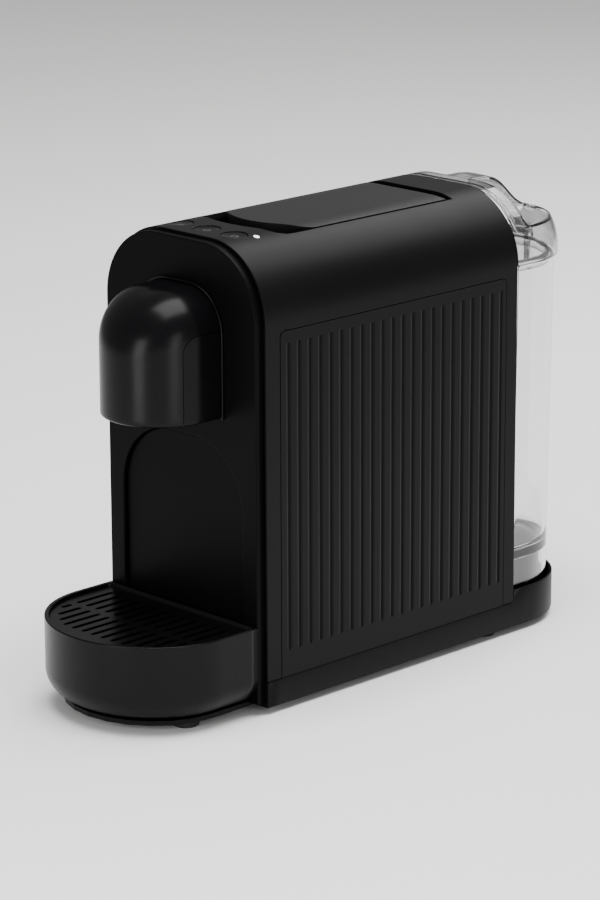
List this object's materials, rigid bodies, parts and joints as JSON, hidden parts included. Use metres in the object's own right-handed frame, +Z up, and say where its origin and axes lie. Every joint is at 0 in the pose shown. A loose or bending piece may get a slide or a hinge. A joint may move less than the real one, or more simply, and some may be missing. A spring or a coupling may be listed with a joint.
{
  "type": "pod coffee machine",
  "caption": "Slim capsule coffee machine with an arched housing, top lever, overhanging brew head, removable drip tray and rear water tank.",
  "frame": {"origin": "centre of the footprint, on the surface that the machine stands on", "axes": "+Z up, -Y towards the drip tray and the user, +Y towards the water tank, +X across the machine"},
  "size_m": [0.114, 0.3276, 0.2446],
  "materials": {
    "black_housing": "fine moulded grain, satin black ABS",
    "black_satin": "smooth satin black ABS",
    "black_fascia": "smooth matte black ABS",
    "grey_lever": "satin dark grey ABS",
    "clear_tank": "clear moulded SAN",
    "clear_lid": "clear, faintly smoked SAN",
    "inner_plastic": "glass-filled nylon",
    "white_plastic": "natural POM",
    "rubber": "moulded rubber",
    "silicone": "translucent silicone",
    "steel": "stainless steel",
    "aluminium": "die-cast aluminium",
    "brass": "drawn brass",
    "board": "solder-masked circuit board",
    "lamp": "frosted white light pipe"
  },
  "bodies": {
    "housing": {"main_shell": "black_housing", "side_panel_right": "black_housing", "side_panel_left": "black_housing", "front_fascia": "black_fascia", "rear_wall": "black_housing", "base_chassis": "black_housing", "foot_front_right": "rubber", "foot_front_left": "rubber", "foot_rear_right": "rubber", "foot_rear_left": "rubber", "base_screw_1": "steel", "base_screw_2": "steel", "base_screw_3": "steel", "base_screw_4": "steel", "head_cover": "black_satin", "head_cheek_right": "black_satin", "head_cheek_left": "black_satin", "head_collar": "black_fascia", "coffee_spout": "black_fascia", "brew_frame": "inner_plastic", "outlet_plate": "steel", "coffee_channel": "silicone", "lever_well": "black_fascia", "lever_pivot_pin": "steel", "control_board": "board", "button_mat": "silicone", "status_light": "lamp", "tank_socket": "white_plastic", "flow_meter": "white_plastic", "pump_bracket": "steel", "pump_body": "brass", "pump_coil": "inner_plastic", "pump_mount_lower": "rubber", "pump_mount_upper": "rubber", "heater_block": "aluminium", "thermostat": "steel", "suction_hose": "silicone", "pump_hose": "silicone", "pressure_hose": "silicone", "power_board": "board", "cord_gland": "rubber"},
    "lever": {"lever": "grey_lever", "knee_pin": "steel"},
    "link": {"toggle_link": "steel"},
    "piston": {"brew_piston": "inner_plastic", "piston_seal": "silicone", "brew_hose": "silicone"},
    "button_right": {"button_right": "black_satin"},
    "button_middle": {"button_middle": "black_satin"},
    "button_left": {"button_left": "black_satin"},
    "tray": {"drip_tray": "black_satin", "capsule_bin": "black_satin"},
    "grille": {"drip_grille": "black_satin"},
    "tank": {"water_tank": "clear_tank", "tank_filter": "white_plastic", "lid_hinge_pin": "steel", "valve_spring": "steel"},
    "lid": {"tank_lid": "clear_lid"},
    "valve": {"tank_valve": "white_plastic", "valve_seal": "silicone"}
  },
  "joints": [
    {"name": "lever_hinge", "type": "hinge", "parent": "housing", "child": "lever", "pos_m": [0, 0.0698, 0.235], "axis": [-1, 0, 0], "range_deg": [0, 75]},
    {"name": "link_hinge", "type": "hinge", "parent": "lever", "child": "link", "pos_m": [0, 0.05758, 0.2263], "axis": [1, 0, 0], "range_deg": [0, 112.24]},
    {"name": "piston_slide", "type": "slide", "parent": "housing", "child": "piston", "axis": [0, 1, 0], "range_m": [0, 0.02584]},
    {"name": "button_right_press", "type": "slide", "parent": "housing", "child": "button_right", "axis": [0, 0, -1], "range_m": [0, 0.0008], "stiffness_N_per_m": 600},
    {"name": "button_middle_press", "type": "slide", "parent": "housing", "child": "button_middle", "axis": [0, 0, -1], "range_m": [0, 0.0008], "stiffness_N_per_m": 600},
    {"name": "button_left_press", "type": "slide", "parent": "housing", "child": "button_left", "axis": [0, 0, -1], "range_m": [0, 0.0008], "stiffness_N_per_m": 600},
    {"name": "tray_slide", "type": "slide", "parent": "housing", "child": "tray", "axis": [0, -1, 0], "range_m": [0, 0.14]},
    {"name": "grille_lift", "type": "slide", "parent": "tray", "child": "grille", "axis": [0, 0, 1], "range_m": [0, 0.03]},
    {"name": "tank_lift", "type": "slide", "parent": "housing", "child": "tank", "axis": [0, 0, 1], "range_m": [0, 0.06]},
    {"name": "lid_hinge", "type": "hinge", "parent": "tank", "child": "lid", "pos_m": [0, 0.1608, 0.21], "axis": [-1, 0, 0], "range_deg": [0, 100]},
    {"name": "valve_slide", "type": "slide", "parent": "tank", "child": "valve", "axis": [0, 0, 1], "range_m": [-0.0027, 0], "deforming": ["valve_spring"]}
  ],
  "couplings": [
    {"joint": "link_hinge", "follows": "lever_hinge", "ratio": 1.4939},
    {"joint": "piston_slide", "follows": "lever_hinge", "m_per_rad": 0.019662},
    {"joint": "valve_slide", "follows": "tank_lift", "ratio": -0.045}
  ]
}
